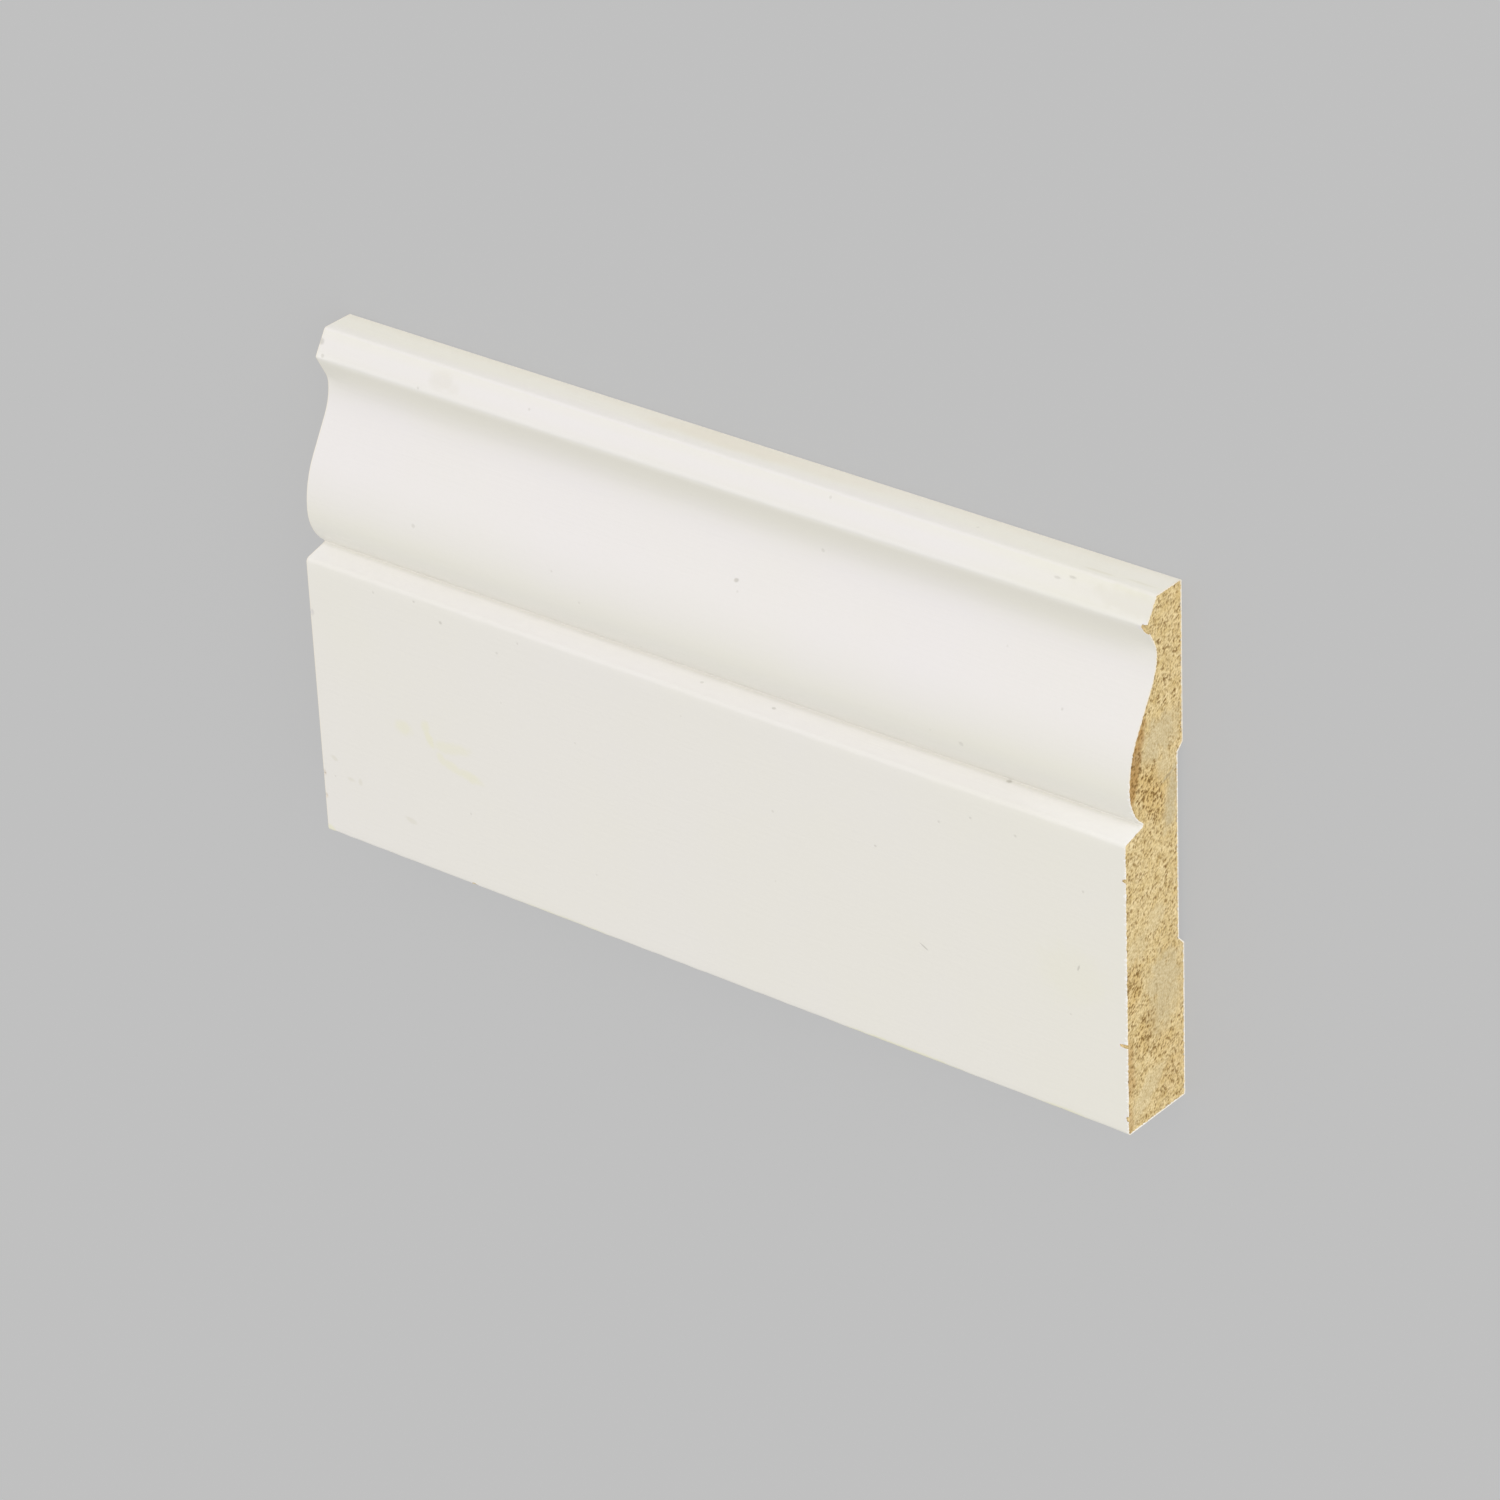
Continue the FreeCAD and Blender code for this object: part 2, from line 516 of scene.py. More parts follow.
# %% Zones of the near end
near_zones = {
    "smooth": [
        Oval(28, 8, 7, 4, lean=70, amount=0.8),
        Oval(20.5, 6.5, 3.6, 2.6, lean=60, amount=0.9),
        Oval(12, 4, 6.5, 2.2, lean=8, amount=0.9),
        Oval(-13, 9.5, 3, 2.6, lean=30, amount=0.6),
        Oval(-17.5, 16, 4, 3.4, lean=40, amount=0.6),
        Oval(-28, 8.5, 5, 5, amount=0.74),
        Oval(-33, 5.5, 9, 5.2, lean=15, amount=0.74),
        Oval(-52.5, 13, 7.5, 2.8, lean=53, amount=0.78),
    ],
    "deep": [
        Oval(17, 11, 7, 3.8, lean=-30),
        Oval(-26, 17.5, 5.5, 2.6, lean=10, amount=0.8),
        Oval(-38, 13, 5, 3, lean=20, amount=0.8),
        Oval(-44, 8, 4, 3.5, lean=40, amount=0.5),
        Oval(-53, 5, 6, 3.5, lean=40, amount=0.15),
    ],
    "orange": [
        Oval(25, 15.9, 9.5, 1.7, lean=14, amount=0.9),
        Oval(17.5, 17.8, 4, 1.4, lean=-4, amount=0.6),
        Oval(-45, 19, 7, 1.6, lean=0, amount=0.5),
        Oval(-57, 19.2, 3.5, 1.2, lean=0, amount=0.4),
        Oval(-52, 4.5, 6, 3.5, lean=40, amount=0.12),
    ],
    "grey": [
        Oval(12, 3.9, 6, 1.8, lean=8, amount=0.45),
        Oval(17.8, 4.8, 2.3, 0.5, lean=72, amount=0.7),
        Oval(-31, 7, 9, 5, lean=20, amount=0.3),
        Oval(28, 8, 7, 4, lean=70, amount=0.25),
    ],
}
print("ovals on the near end:", sum(len(ovals) for ovals in near_zones.values()))

# %% Zones of the far end
far_zones = {
    "smooth": [
        Oval(45, 4, 8, 2.6, lean=30, amount=0.8),
        Oval(22, 10, 8, 3.2, lean=62, amount=0.9),
        Oval(-8, 8, 11, 4.2, lean=55, amount=0.9),
        Oval(-40, 12, 9, 4.5, lean=48, amount=1.0),
    ],
    "deep": [
        Oval(34, 6, 7, 4, lean=20, amount=0.8),
        Oval(8, 13, 6, 3.2, lean=40, amount=0.7),
        Oval(-24, 6, 8, 4, lean=30, amount=0.8),
        Oval(-54, 6, 5, 4, lean=30, amount=0.7),
    ],
    "orange": [Oval(-20, 19, 9, 1.4, amount=0.7), Oval(52, 2, 7, 1.4, amount=0.5)],
    "grey": [Oval(-40, 12, 8, 4, lean=48, amount=0.4)],
}
print("ovals on the far end:", sum(len(ovals) for ovals in far_zones.values()))

# %% [markdown]
# The torn relief. A saw leaves pits the size of a pin head, drawn out along the grain, with fine
# fibres on them. Sculpting thousands of pits by hand is out of the question, and a bump map
# stays flat when it is seen from the side. A Displace modifier pushes the points of the grid in
# by a pattern, more in the torn zones and hardly at all in the smooth ones. A Voronoi pattern
# gives the pits and two cloud patterns give fibres and lumps. An empty that is turned and
# stretched stands in for the grain: the patterns are read in its space, so they lean with it.

# %% Displace helpers
def texture(name, kind, size, contrast, brightness=1.0):
    """A Voronoi or cloud pattern for the Displace modifier. The size is that of one lump."""
    made = bpy.data.textures.new(name, kind)
    made.noise_scale = size
    made.contrast = contrast
    made.intensity = brightness
    made.use_clamp = True
    return made


def push(piece, pattern, depth, direction, group, middle=1.0, space=None):
    """Pushes the points of a group along a direction by a pattern, and applies it."""
    displace = piece.modifiers.new(pattern.name, "DISPLACE")
    displace.texture = pattern
    displace.texture_coords = "OBJECT" if space else "LOCAL"
    displace.texture_coords_object = space
    displace.strength = depth
    displace.mid_level = middle
    displace.direction = direction
    displace.vertex_group = group
    apply_modifiers(piece)


# %% Torn relief
pit_depth = 0.34 * mm
fibre_depth = 0.12 * mm
lump_depth = 0.14 * mm
torn_layer = 0.3 * mm
uneven_size = 1.7 * mm
uneven_mean, uneven_swing = 0.9, 0.6
plain_torn, deep_adds = 0.6, 0.4
smooth_spares = 0.66
orange_torn = 0.75
grain_lean = math.radians(-40)
grain_stretch = 1.4

pits = texture("pits", "VORONOI", 0.55 * mm, contrast=2.6, brightness=1.18)
fibres = texture("fibres", "CLOUDS", 0.28 * mm, contrast=2.4)
lumps = texture("lumps", "CLOUDS", 1.3 * mm, contrast=1.5)

grain = bpy.data.objects.new("grain_direction", None)
grain.rotation_euler = (grain_lean, 0, 0)
grain.scale = (1, grain_stretch, 1)
bpy.context.scene.collection.objects.link(grain)
bpy.context.view_layer.update()


def tear(wood, zones, outwards):
    """Gives one end its zones, its torn relief, and the attribute that tells pit from top."""
    values = {kind: keep_ovals(wood, kind, ovals) for kind, ovals in zones.items()}
    top_x = max(vertex.co.x * outwards for vertex in wood.data.vertices)
    torn = wood.vertex_groups.new(name="torn")
    for vertex, smooth, deep, orange in zip(
        wood.data.vertices, values["smooth"], values["deep"], values["orange"]
    ):
        if vertex.co.x * outwards > top_x - torn_layer:
            uneven = uneven_mean + uneven_swing * noise.noise(vertex.co / uneven_size)
            share = (plain_torn + deep_adds * deep) * (1 - smooth_spares * smooth)
            share = max(share, orange_torn * orange) * uneven
            torn.add([vertex.index], min(1, max(0, share)), "REPLACE")
    push(wood, pits, pit_depth * outwards, "X", "torn", space=grain)
    push(wood, fibres, fibre_depth * outwards, "X", "torn", space=grain)
    pit = wood.data.attributes.new("pit", "FLOAT", "POINT")
    deepest = pit_depth + fibre_depth * 0.6
    pit.data.foreach_set("value", [
        min(1, (top_x - vertex.co.x * outwards) / deepest) for vertex in wood.data.vertices
    ])
    push(wood, lumps, lump_depth * outwards, "X", "torn")


tear(near_wood, near_zones, outwards=1)
tear(far_wood, far_zones, outwards=-1)
bpy.data.objects.remove(grain)
depths = [near_x - vertex.co.x for vertex in near_wood.data.vertices if vertex.groups]
print("pits, mm deep:", round(min(depths) / mm, 2), "to", round(max(depths) / mm, 2))

# %% [markdown]
# The frayed rim. The paint isn't cut clean either: the saw frays it, and the line round the wood
# is nowhere of one width. Moving its points by random numbers would tear it into teeth. A
# Displace modifier can move points by a coloured cloud, whose red, green and blue push along X,
# Y and Z, so neighbours move together and the inner edge wanders in and out. What would stand
# out past the end is put back into its plane, because a saw leaves nothing in front of its cut.

# %% Frayed rim
fray = 0.3 * mm
frayed_rim = texture("frayed", "CLOUDS", 0.5 * mm, contrast=1.6)
frayed_rim.cloud_type = "COLOR"
push(board, frayed_rim, fray, "RGB_TO_XYZ", "film_edge", middle=0.5)
for vertex in board.data.vertices:
    vertex.co.x = min(near_x, max(far_x, vertex.co.x))
print("rim reaches, mm:", round(max(vertex.co.x for vertex in board.data.vertices) / mm, 2))

# %% [markdown]
# The soft lip. The lip above the hollow has the opposite need. Thick paint fills the corner under
# it and rounds the corner on it, so no hard line shows along the moulding. A bevel would round
# the edge by a fixed radius, while a Smooth modifier on a group of points eases the lip and the
# hollow into each other, as wet paint does. The weights fade out on both sides, and the group
# stops short of the sawn ends, where the section has to stay exact.

# %% Soft lip
lip_low, lip_high = 45.5, 58.0
fade_low, fade_high = 3, 2
lip_front = 7 * mm
exact_from = near_x - 1.3 * mm
lip_group = board.vertex_groups.new(name="soft_lip")
for vertex in board.data.vertices:
    up = vertex.co.y / mm
    if vertex.co.z > lip_front and lip_low < up < lip_high and abs(vertex.co.x) < exact_from:
        weight = min(1, (up - lip_low) / fade_low, (lip_high - up) / fade_high)
        lip_group.add([vertex.index], weight, "REPLACE")
before = [(vertex.co.copy(), vertex.normal.copy()) for vertex in board.data.vertices]
rounder = board.modifiers.new("rounder lip", "SMOOTH")
rounder.factor = 0.5
rounder.iterations = 80
rounder.vertex_group = "soft_lip"
apply_modifiers(board)
moved = [
    (vertex.co - old).dot(normal) / mm
    for vertex, (old, normal) in zip(board.data.vertices, before)
]
print("lip taken back, hollow filled, mm:", round(-min(moved), 2), round(max(moved), 2))

# %% [markdown]
# Wavy edges. Even a straight edge that was cut by a machine and then painted wanders by a hair:
# the film pools here and pulls back there. A ruler-straight highlight is what makes a rendered
# board look unreal. The points near each long edge are pushed along their normals by a slow
# cloud, the further from the edge the less, so the flats between the edges stay flat.

# %% Wavy edges
edge_places = [
    # up the board, out from its back
    (59.3, 8.8), (54.2, 12.0), (7.8, 20.0), (-60.0, 20.0), (10.3, 13.6),
]
edge_reach = 1.6
wave_height = 0.16 * mm
edge_group = board.vertex_groups.new(name="wavy_edges")
wavy = 0
for vertex in board.data.vertices:
    up, out = vertex.co.y / mm, vertex.co.z / mm
    near = min(math.hypot(up - edge_up, out - edge_out) for edge_up, edge_out in edge_places)
    if near < edge_reach and abs(vertex.co.x) < exact_from:
        edge_group.add([vertex.index], 1 - near / edge_reach, "REPLACE")
        wavy += 1
waves = texture("waves", "CLOUDS", 2.4 * mm, contrast=1.8)
push(board, waves, wave_height, "NORMAL", "wavy_edges")
print("points on the wavy edges:", wavy)

# %% [markdown]
# Materials. Two effects are used again and again, in the paint and in the wood: two colours
# that drift into each other, and a soft patch of something at one place. Each is built once as a
# node group with named inputs, and every use sets its own values. The mottle comes first. Noise
# alone is a grey mush, so the noise is centred on nothing and stretched by a sharpness, which
# says how soon one colour gives way to the other.

# %% Mottle group
def new_group(name, inputs, outputs):
    """A shader node group with named sockets, its group input and its group output."""
    group = bpy.data.node_groups.new(name, "ShaderNodeTree")
    for title, kind, value in inputs:
        socket = group.interface.new_socket(title, in_out="INPUT", socket_type=kind)
        if value is not None:
            socket.default_value = value
    for title, kind in outputs:
        group.interface.new_socket(title, in_out="OUTPUT", socket_type=kind)
    given = group.nodes.new("NodeGroupInput").outputs
    result = group.nodes.new("NodeGroupOutput").inputs
    return group, given, result


mottle, given, result = new_group(
    "mottle",
    [
        ("Vector", "NodeSocketVector", None),
        ("One", "NodeSocketColor", None),
        ("Other", "NodeSocketColor", None),
        ("Scale", "NodeSocketFloat", 40.0),
        ("Sharpness", "NodeSocketFloat", 2.0),
    ],
    [("Color", "NodeSocketColor"), ("Mask", "NodeSocketFloat")],
)
clouds = speckle(mottle, given["Vector"], given["Scale"], 3.0)
centred = calc(mottle, "SUBTRACT", clouds, 0.5)
spread = calc(mottle, "MULTIPLY_ADD", centred, given["Sharpness"], 0.5, clamp=True)
mottle.links.new(spread, result["Mask"])
mottle.links.new(mix(mottle, spread, given["One"], given["Other"]), result["Color"])
print("mottle nodes:", len(mottle.nodes))

# %% [markdown]
# The soft patch. A stain, a speck or a thin place in paint is an uneven spot that is strongest in
# its middle. A Mapping node moves and stretches space so that the spot becomes a ball of radius
# one, a spherical gradient fades from its middle to nothing, and noise frays it. The last two
# nodes keep the noise from leaking out past the ball.

# %% Patch group
patch_full = 0.65
patch_end = 0.001
patch, given, result = new_group(
    "soft_patch",
    [
        ("Vector", "NodeSocketVector", None),
        ("Place", "NodeSocketVector", None),
        ("Turn", "NodeSocketVector", None),
        ("Size", "NodeSocketVector", (0.01, 0.01, 0.01)),
        ("Ragged", "NodeSocketFloat", 0.4),
        ("Grain", "NodeSocketFloat", 200.0),
    ],
    [("Mask", "NodeSocketFloat")],
)
placed = add(patch, "ShaderNodeMapping", {
    "Vector": given["Vector"], "Location": given["Place"],
    "Rotation": given["Turn"], "Scale": given["Size"],
}, vector_type="TEXTURE")
ball = add(
    patch, "ShaderNodeTexGradient", {"Vector": placed.outputs[0]}, gradient_type="SPHERICAL"
).outputs["Fac"]
clouds = speckle(patch, given["Vector"], given["Grain"], 4.0)
centred = calc(patch, "SUBTRACT", clouds, 0.5)
ragged_ball = calc(patch, "MULTIPLY_ADD", centred, given["Ragged"], ball)
soft_edge = ranged(patch, ragged_ball, 0.0, patch_full, easing="SMOOTHSTEP")
inside = calc(patch, "GREATER_THAN", ball, patch_end)
patch.links.new(calc(patch, "MULTIPLY", soft_edge, inside), result["Mask"])
print("patch nodes:", len(patch.nodes))

# %% [markdown]
# Paint round the section. Light and shade are painted into the coat: an almost pure white is
# painted on the small ledge, next to the quirk and on the lip as painted light, and a yellower
# white is painted most strongly in the hollows, under the lip and beside the quirk as painted
# shade. Such bands follow the moulding from end to end, so they belong to a place on the section.
# A table of places up the board and of the two shares there is plain to read and to change. The
# shares are worked out for each point, kept as attributes, and read by the material. The rims of
# the sawn ends have a third share, for broken paint: it is creamy, with sawdust rubbed into it.

# %% Paint round the section
paint_profile = [
    # up the board, share of painted light (an almost pure white), share of painted shade (a
    # yellower white)
    (-60.0, 0.0, 0.6),
    (7.6, 0.0, 0.6),
    (8.5, 0.05, 0.4),
    (9.0, 0.45, 0.1),
    (9.5, 0.58, 0.1),
    (9.9, 0.88, 0.15),
    (10.1, 0.4, 0.7),
    (10.5, 0.35, 1.0),
    (11.5, 0.4, 1.0),
    (15.0, 0.22, 1.0),
    (19.0, 0.0, 0.9),
    (24.0, 0.0, 0.4),
    (31.0, 0.0, 0.05),
    (43.0, 0.0, 0.05),
    (46.5, 0.0, 0.5),
    (50.0, 0.05, 1.0),
    (52.6, 0.0, 1.0),
    (53.4, 0.2, 1.0),
    (54.3, 0.3, 0.4),
    (55.2, 0.0, 0.35),
    (56.5, 0.0, 0.1),
    (58.0, 0.0, 0.1),
    (58.8, 0.0, 0.5),
    (60.0, 0.0, 0.6),
]
top_edge = 59.6
lip_up = 53
back_reach = 5
yellow_from, yellow_over = 62, 30
yellow_top, yellow_nose, yellow_front = 0.5, 0.6, 0.2


def paint_at(point):
    """The shares of painted light and of painted shade, a yellower white, at a point, by its place
    on the section.

    The yellower white also grows towards the back and a little towards the near end.
    """
    up, out = point.y / mm, point.z / mm
    towards_near = min(1, max(0, (point.x / mm - yellow_from) / yellow_over))
    yellow_to_back = min(1, 1.9 - out / back_reach)
    if out < back_reach:
        return 0.0, yellow_to_back
    if up > top_edge:
        return 0.0, yellow_to_back + yellow_top * towards_near
    for lower, upper in zip(paint_profile, paint_profile[1:]):
        if lower[0] <= up <= upper[0]:
            part = (up - lower[0]) / (upper[0] - lower[0])
            painted_light, shade_and_yellowing = (lower[k] + (upper[k] - lower[k]) * part for k in (1, 2))
            yellow = yellow_nose if up > lip_up else yellow_front
            return painted_light, shade_and_yellowing + yellow * towards_near
    return 0.0, 0.6


# the shares of painted light, painted shade and broken paint on the rims
front_rim = (0.15, 0.6, 0.75)
back_rim = (0.0, 0.9, 1.0)
back_rim_depth = 3 * mm
shares = []
for vertex in board.data.vertices:
    on_rim = any(member.group == film_group.index for member in vertex.groups)
    if on_rim or at_end(vertex.co, near_x) or at_end(vertex.co, far_x):
        shares.append(front_rim if vertex.co.z > back_rim_depth else back_rim)
    else:
        shares.append((*paint_at(vertex.co), 0.0))
for column, name in enumerate(("painted_light", "shade_and_yellowing", "broken")):
    attribute = board.data.attributes.new(name, "FLOAT", "POINT")
    attribute.data.foreach_set("value", [share[column] for share in shares])
print("aged paint, mean:", round(sum(share[1] for share in shares) / len(shares), 2))

# %% [markdown]
# Painted softwood. This is old oil paint, brushed on thick: satin, a little uneven, with specks
# of grit in it, faint yellow stains, places on the top edge where the wood shines through, and
# small chips where the saw went. An image could hold all of that, but only at one resolution.
# Here one colour is laid over the next through a mask, in this order: the coat, its painted light
# and shade, the marks, the dirt. The first cell makes the coat itself.

# %% Painted softwood, the coat
def new_material(name):
    """A material with nothing in it but a Principled BSDF."""
    material = bpy.data.materials.new(name)
    tree = empty_tree(material)
    shader = add(tree, "ShaderNodeBsdfPrincipled")
    add(tree, "ShaderNodeOutputMaterial", {"Surface": shader.outputs[0]})
    return material, tree, shader


def kept(tree, name):
    """The value of an attribute that was kept on the mesh."""
    return add(tree, "ShaderNodeAttribute", attribute_name=name).outputs["Fac"]


def stretched(tree, vector, factor, turn=0.0):
    """The coordinates for a pattern that is drawn out along the grain of the board."""
    links = {"Vector": vector, "Scale": factor, "Rotation": (turn, 0, 0)}
    return add(tree, "ShaderNodeMapping", links, vector_type="TEXTURE").outputs[0]


paint, tree, shader = new_material("painted_softwood")
place = add(tree, "ShaderNodeTexCoord").outputs["Object"]
clouds = add(
    tree, "ShaderNodeGroup", {"Vector": place, "Scale": 26.0, "Sharpness": 2.4}, node_tree=mottle
).outputs["Mask"]
drift = calc(tree, "MULTIPLY_ADD", clouds, 0.3, -0.15)
# painted shade: the yellower white, with a random drift, yellows the hollows and the underside of
# the lip; the lit white is painted light
shade_and_yellowing_mix = calc(tree, "ADD", kept(tree, "shade_and_yellowing"), drift)
colour = mix(tree, shade_and_yellowing_mix, paint_fresh, paint_shade_and_yellowing)
colour = mix(tree, kept(tree, "painted_light"), colour, paint_lit_white)
colour = mix(tree, kept(tree, "broken"), colour, paint_broken)
board.data.materials.append(paint)
print("coat nodes:", len(tree.nodes))

# %% [markdown]
# The marks. Each one is written down as a soft patch: its place on the board and its half sizes in
# millimetres, its turn about Z in degrees, and its strength. The lists are sorted by kind, because
# each kind has a colour of its own: a painted highlight on the ledge, yellow stains together with
# a painted shade line along the foot edge, thin paint, smudges and grit. A list of places could be
# replaced by noise, but the eye remembers where a speck was, and even noise looks like a pattern.

# %% Places of the marks
# painted highlight: the ledge is drawn brighter near the near end, where the light falls on it
# most
painted_highlight_spots = [((103, 9.2, 17), (24, 3.0, 4.5), 0, 0.6)]
stain_and_shade_spots = [
    ((-78.4, -23.6, 20), (1.7, 2.4, 2), 0, 0.55),
    ((-77.4, -26.4, 20), (3.8, 1.4, 2), -60, 0.65),
    ((-71.4, -26.8, 20), (8.5, 2.0, 2), 9, 0.42),
    ((-74.3, -30.2, 20), (2.8, 1.4, 2), -45, 0.5),
    ((-71.2, -31.4, 20), (4.4, 1.7, 2), -15, 0.5),
    ((-66.0, -32.2, 20), (4.6, 1.8, 2), -8, 0.55),
    ((-85.0, -25.8, 20), (3.4, 2.5, 2), 0, 0.5),
    ((97.0, -26.0, 20), (12, 9, 2), 0, 0.16),
    ((-109.8, -59.5, 19.8), (2.0, 1.6, 2), 0, 0.8),
    # painted shade: a darker line along the rounded foot edge, where the paint turns down
    ((52, -59.8, 19.8), (22, 1.1, 1.1), 0, 0.9),
    ((94, -59.8, 19.8), (9, 1.1, 1.1), 0, 0.8),
    ((-40, -59.8, 19.8), (20, 1.0, 1.0), 0, 0.5),
    ((104.7, 59.5, 8.7), (6.0, 1.2, 1.2), 0, 0.15),
]
thin_spots = [
    ((0, 60, 0.2), (240, 1.5, 3.6), 0, 0.16),
    ((-2, 60, 2.6), (34, 1.5, 4.0), 0, 0.3),
    ((20, 60, 1.6), (34, 1.5, 4.2), 0, 0.2),
    ((-110.5, -45.0, 20), (1.1, 1.0, 1.0), 0, 0.6),
    ((-110.5, -50.9, 20), (1.1, 1.0, 1.0), 0, 0.7),
]
smudge_spots = [
    ((-75.2, 57.2, 10.2), (4.6, 2.6, 3.0), 0, 0.15),
    ((-72.0, 56.4, 10.8), (2.6, 1.6, 2.0), 0, 0.1),
    ((108.0, 57.4, 10.0), (20, 3.4, 3.2), 0, 0.15),
    ((-106.9, -40.4, 20), (1.6, 0.8, 1), -20, 0.2),
    ((-102.3, -44.3, 20), (1.6, 0.8, 1), 0, 0.18),
    ((-99.4, -44.1, 20), (0.9, 1.2, 1), 0, 0.2),
    ((-84.9, -49.1, 20), (2.4, 0.9, 1), -10, 0.18),
    ((95.5, 60, 6.6), (5.5, 0.8, 0.5), 0, 0.2),
    ((105.0, 60, 6.0), (5.5, 0.8, 0.5), 0, 0.18),
]
dirt_spots = [
    ((6.9, 35.0, 13.5), (0.85, 0.6, 0.6), 20, 0.6),
    ((-71.8, 4.2, 20), (0.6, 0.5, 0.6), 0, 0.48),
    ((-79.3, 7.1, 20), (0.5, 0.4, 0.6), 0, 0.36),
    ((-79.6, 24.6, 18.0), (0.7, 0.6, 0.8), 0, 0.3),
    ((18.0, 9.5, 16.4), (0.7, 0.7, 0.4), 0, 0.48),
    ((-1.5, 9.6, 16.2), (0.6, 0.7, 0.4), 0, 0.36),
    ((26.6, 45.7, 8.8), (0.6, 0.6, 0.8), 0, 0.3),
    ((29.3, 58.8, 9.2), (0.5, 0.5, 0.6), 0, 0.3),
    ((77.4, 10.1, 14.2), (0.9, 0.8, 0.6), 0, 0.6),
    ((68.4, 17.7, 18.2), (0.8, 0.7, 0.8), 0, 0.3),
    ((71.6, 2.3, 20), (0.5, 0.4, 0.6), 0, 0.3),
    ((83.0, 1.8, 20), (0.5, 0.4, 0.6), 0, 0.3),
    ((46.6, -12.5, 20), (0.5, 0.4, 0.6), 0, 0.36),
    ((87.2, 57.7, 9.8), (1.2, 0.35, 0.5), 0, 0.36),
    ((90.6, 58.5, 9.3), (1.2, 0.35, 0.5), 0, 0.42),
    ((58.6, -32.6, 20), (1.6, 0.3, 0.6), -28, 0.48),
    ((98.4, -24.1, 20), (1.0, 0.3, 0.6), 70, 0.54),
    ((-110.2, 57.3, 10.1), (1.0, 1.1, 0.9), 0, 0.5),
    ((-108.8, 54.9, 11.6), (0.6, 0.6, 0.6), 0, 0.4),
    ((-110.1, -4.6, 20), (0.8, 1.2, 0.8), 0, 0.25),
]
print("marks:", len(painted_highlight_spots + stain_and_shade_spots + thin_spots + smudge_spots + dirt_spots))

# %% Painted softwood, the marks
def patches(tree, vector, spots, ragged, grain_scale):
    """One mask for a list of spots: the strongest of them at each place."""
    joined = None
    for middle, half_sizes, turn, amount in spots:
        mask = add(tree, "ShaderNodeGroup", {
            "Vector": vector, "Place": Vector(middle) * mm, "Size": Vector(half_sizes) * mm,
            "Turn": (0, 0, math.radians(turn)), "Ragged": ragged, "Grain": grain_scale,
        }, node_tree=patch).outputs["Mask"]
        faint = calc(tree, "MULTIPLY", mask, amount)
        joined = faint if joined is None else calc(tree, "MAXIMUM", joined, faint)
    return joined


stain_and_shade_yellow = screen_colour(229, 226, 200)
wood_through_paint = screen_colour(220, 208, 186)
smudge_olive = screen_colour(196, 190, 160)
dirt_grey = screen_colour(186, 182, 172)
for spots, ragged, grain_scale, mark_colour in (
    (painted_highlight_spots, 0.3, 60.0, paint_lit_white),
    (stain_and_shade_spots, 0.8, 400.0, stain_and_shade_yellow),
    (thin_spots, 0.5, 160.0, wood_through_paint),
    (smudge_spots, 0.9, 420.0, smudge_olive),
):
    colour = mix(tree, patches(tree, place, spots, ragged, grain_scale), colour, mark_colour)
print("nodes with the marks:", len(tree.nodes))

# %% [markdown]
# The chips. Where the saw ran, the last millimetre of paint on the face is broken into short
# white ticks that run along the board. They are far too many for a list, so they come from noise
# that is drawn out along the board. Its level rises towards the end, and only what passes a
# threshold shows, so the ticks get denser and join up at the very edge. On the real board they
# stop below the moulding, where the coat is thicker, and the far end has none.

# %% Painted softwood, chips at the saw cut
tick_zone = 1.6 * mm
tick_top = 22 * mm
sides = add(tree, "ShaderNodeSeparateXYZ", {"Vector": place})
near_edge = ranged(tree, sides.outputs["X"], near_x - tick_zone, near_x, low=-0.4, high=0.15)
ticks = speckle(tree, stretched(tree, place, (6, 1, 1)), 2000.0, 1.0)
chipped = ranged(tree, calc(tree, "ADD", ticks, near_edge), 0.6, 0.66, high=0.8)
low_down = calc(tree, "LESS_THAN", sides.outputs["Y"], tick_top)
# the ticks take the lit white: frayed paint, with a painted highlight on its broken edges
colour = mix(tree, calc(tree, "MULTIPLY", chipped, low_down), colour, paint_lit_white)
print("nodes with the chips:", len(tree.nodes))

# %% [markdown]
# Grit and brush marks. Grit is darker and sits in a small dent, so one mask gives both the colour
# and the height. The finest grit is the middle of each cell of a Voronoi pattern. Brush marks run
# along the board: noise that is drawn out 25 times makes them, and a finer stipple breaks them
# up. They are a hundredth of a millimetre high, which no mesh needs to carry, so a Bump node
# gives them to the light alone.

# %% Painted softwood, grit and brush marks
brush_length = 25
brush_height = 0.03 * mm
dust = add(tree, "ShaderNodeTexVoronoi", {"Vector": place, "Scale": 110.0}).outputs["Distance"]
specks = ranged(tree, dust, 0.02, 0.045, low=0.3, high=0.0)
dirt = calc(tree, "MAXIMUM", patches(tree, place, dirt_spots, 0.4, 900.0), specks)
colour = mix(tree, dirt, colour, dirt_grey)
tree.links.new(colour, shader.inputs["Base Color"])

stipple = speckle(tree, place, 900.0, 2.0)
strands = speckle(tree, stretched(tree, place, (brush_length, 1, 1)), 1300.0, 3.0)
brushed = calc(tree, "MULTIPLY_ADD", strands, 1.2, stipple)
dented = calc(tree, "MULTIPLY_ADD", dirt, -4.0, brushed)
bump = add(tree, "ShaderNodeBump", {"Height": dented, "Distance": brush_height})
tree.links.new(bump.outputs[0], shader.inputs["Normal"])
shader.inputs["Roughness"].default_value = 0.45
print("paint nodes:", len(tree.nodes))

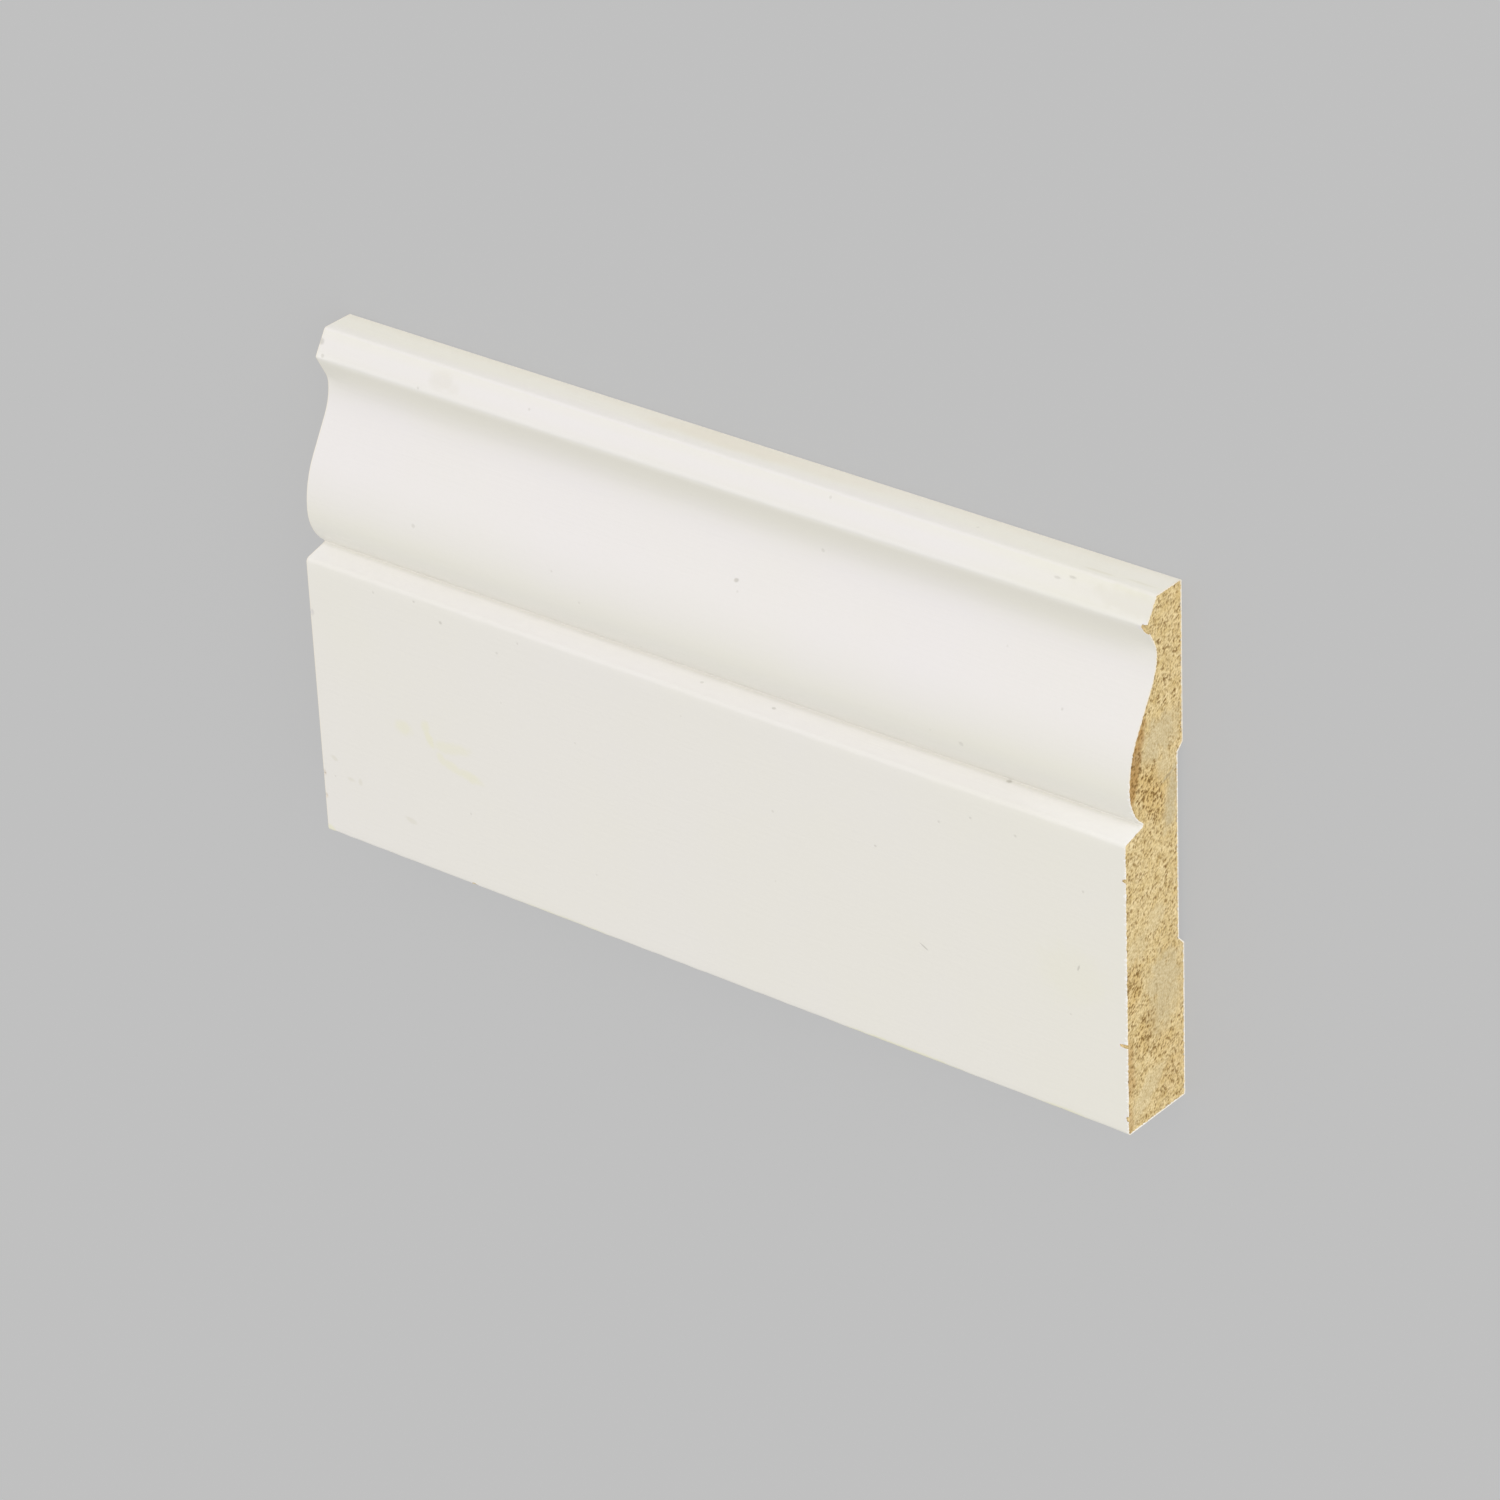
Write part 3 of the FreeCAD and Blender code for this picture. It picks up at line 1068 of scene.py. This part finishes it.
# %% [markdown]
# Sawn softwood. The end grain is straw yellow where the wood is torn, paler and greyer where it
# is smooth, and resin makes a reddish band along the front. All of these are attributes from the
# ovals, so the colour sits where the relief is. Within each zone a mottle keeps the tone from
# being flat, and fine hatching that leans with the grain stands for the fibres, in colour and in
# bump. Light alone doesn't make the pits dark enough, because sawdust and shade fill the real
# ones: the attribute that tells how deep a point lies darkens them.

# %% Sawn softwood
wood, tree, shader = new_material("sawn_softwood")
place = add(tree, "ShaderNodeTexCoord").outputs["Object"]


def mottled(one, other, scale, sharpness):
    """Two colours that drift into each other on the wood."""
    return add(tree, "ShaderNodeGroup", {
        "Vector": place, "One": one, "Other": other, "Scale": scale, "Sharpness": sharpness,
    }, node_tree=mottle).outputs["Color"]


torn_wood = mottled(screen_colour(232, 212, 164), screen_colour(216, 192, 136), 420.0, 2.6)
smooth_wood = mottled(screen_colour(226, 210, 168), screen_colour(202, 184, 142), 700.0, 2.4)
colour = mix(tree, kept(tree, "smooth"), torn_wood, smooth_wood)
golden = calc(tree, "MULTIPLY", kept(tree, "deep"), 0.5)
colour = mix(tree, golden, colour, screen_colour(216, 180, 108))
colour = mix(tree, kept(tree, "orange"), colour, screen_colour(182, 140, 80))
colour = mix(tree, kept(tree, "grey"), colour, screen_colour(182, 172, 144))

hatching = speckle(tree, stretched(tree, place, (1, 2.2, 1), turn=grain_lean), 4200.0, 2.0)
fibre_lines = ranged(tree, hatching, 0.42, 0.62, high=0.5)
colour = mix(tree, fibre_lines, colour, screen_colour(158, 130, 72))
pit_shade = ranged(tree, kept(tree, "pit"), 0.15, 0.62, high=0.9)
colour = mix(tree, pit_shade, colour, screen_colour(124, 92, 32))
tree.links.new(colour, shader.inputs["Base Color"])

bump = add(tree, "ShaderNodeBump", {"Height": hatching, "Distance": 0.06 * mm, "Strength": 0.8})
tree.links.new(bump.outputs[0], shader.inputs["Normal"])
shader.inputs["Roughness"].default_value = 0.85
board.data.materials.append(wood)
for piece in (near_wood, far_wood):
    piece.data.materials.clear()
    piece.data.materials.append(wood)
print("wood nodes:", len(tree.nodes))

# %% [markdown]
# Knocks. Where the saw came out it took splinters with it, and a loose board gets dented. A dent
# could be sculpted into the paint, but a splinter takes paint and wood together and shows the
# wood below. Each knock is a lumpy little ball, and a boolean takes all of them out of the paint
# and out of the wood behind it. The cut faces carry the cutter's material number, so each ball
# gets the board's two materials and wears the one that shows in it: paint in a dent, wood where
# a splinter is gone. The longest one is turned to follow the slope under the lip.

# %% Balls for the knocks
knock_list = [
    # middle, half sizes, turn about X in degrees, what shows in it
    ((110.1, -38.7, 20.15), (1.5, 0.45, 0.75), 0, "wood"),
    ((110.4, 0.3, 20.1), (0.7, 0.45, 0.5), 0, "wood"),
    ((110.6, -56.0, 19.9), (0.6, 0.6, 0.5), 0, "wood"),
    ((110.4, 53.9, 12.2), (1.5, 2.2, 1.05), 32, "wood"),
    ((110.6, 15.5, 18.2), (0.5, 0.5, 0.5), 0, "wood"),
    ((-110.4, -4.6, 20.4), (0.7, 0.5, 0.5), 0, "paint"),
    ((-110.3, -45.1, 20.35), (0.7, 0.5, 0.45), 0, "paint"),
    ((-110.3, -50.9, 20.4), (0.7, 0.6, 0.5), 0, "paint"),
    ((-67.0, -60.1, 20.0), (1.1, 0.8, 0.75), 0, "wood"),
]
lumpiness, lump_scale = 0.35, 1.7
balls = []
for middle, half_sizes, turn, shows in knock_list:
    bpy.ops.object.select_all(action="DESELECT")
    bpy.ops.mesh.primitive_ico_sphere_add(subdivisions=3, radius=1)
    ball = bpy.context.object
    for vertex in ball.data.vertices:
        vertex.co *= 1 + lumpiness * noise.noise(vertex.co * lump_scale + Vector(middle))
    ball.scale = Vector(half_sizes) * mm
    ball.location = Vector(middle) * mm
    ball.rotation_euler.x = math.radians(turn)
    bpy.ops.object.transform_apply(location=True, rotation=True, scale=True)
    ball.data.materials.append(paint)
    ball.data.materials.append(wood)
    for face in ball.data.polygons:
        face.material_index = 1 if shows == "wood" else 0
    balls.append(ball)
knocks = balls[0]
only(knocks)
for ball in balls:
    ball.select_set(True)
bpy.ops.object.join()
print("faces of the balls:", len(knocks.data.polygons))

# %% Knocks
for piece in (board, near_wood, far_wood):
    cut = piece.modifiers.new("knocks", "BOOLEAN")
    cut.operation = "DIFFERENCE"
    cut.solver = "MANIFOLD"
    cut.object = knocks
    apply_modifiers(piece)
    print(piece.name, "faces:", len(piece.data.polygons))
bpy.data.objects.remove(knocks)
bare = sum(1 for face in board.data.polygons if face.material_index == 1)
print("bare faces in the knocks:", bare)

# %% [markdown]
# The floor. It isn't part of the board, but the board needs its shadow and the pale light that
# it throws back. As behind the board, two things are wanted that one colour can't give: the
# camera and what is mirrored see the grey of the backdrop, most of it as glow so that it stays
# even, and all other rays meet a paler floor that lights the underside. It lies a hair below the
# board, so the two never share a plane.

# %% Floor
floor_size = 8
floor_gap = 0.2 * mm
floor_pale = 0.85
floor_glow = 0.82
bpy.ops.object.select_all(action="DESELECT")
bpy.ops.mesh.primitive_plane_add(size=floor_size, location=(0, 0, -floor_gap))
floor = bpy.context.object
floor.name = "floor"
ground = bpy.data.materials.new("floor_grey")
tree = empty_tree(ground)
pale = add(tree, "ShaderNodeBsdfDiffuse", {"Color": (floor_pale, floor_pale, floor_pale, 1)})
grey_paint = add(tree, "ShaderNodeBsdfDiffuse", {"Color": backdrop_grey}).outputs[0]
grey_glow = add(tree, "ShaderNodeEmission", {"Color": backdrop_grey}).outputs[0]
seen = add(tree, "ShaderNodeMixShader", {0: floor_glow, 1: grey_paint, 2: grey_glow})
chosen = add(tree, "ShaderNodeMixShader", {
    0: shows_backdrop(tree), 1: pale.outputs[0], 2: seen.outputs[0],
})
add(tree, "ShaderNodeOutputMaterial", {"Surface": chosen.outputs[0]})
floor.data.materials.append(ground)
print("floor, m wide:", floor.dimensions.x)

# %% [markdown]
# The finish. The long faces and the arcs should shade as one surface, and the edges between them
# should stay crisp. Smooth shading everywhere would blur the edges and flat shading would show
# every cell, so faces are smoothed only where they meet at less than a given angle. Then each
# piece is told what it rides on, and the construction model's solid is hidden.

# %% Finish
smooth_below = math.radians(32)
for piece, slot in (
    (board, "painted_softwood"), (near_wood, "sawn_softwood"), (far_wood, "sawn_softwood")
):
    only(piece)
    bpy.ops.object.shade_smooth_by_angle(angle=smooth_below)
    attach(piece, "root")
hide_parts("skirting_board")
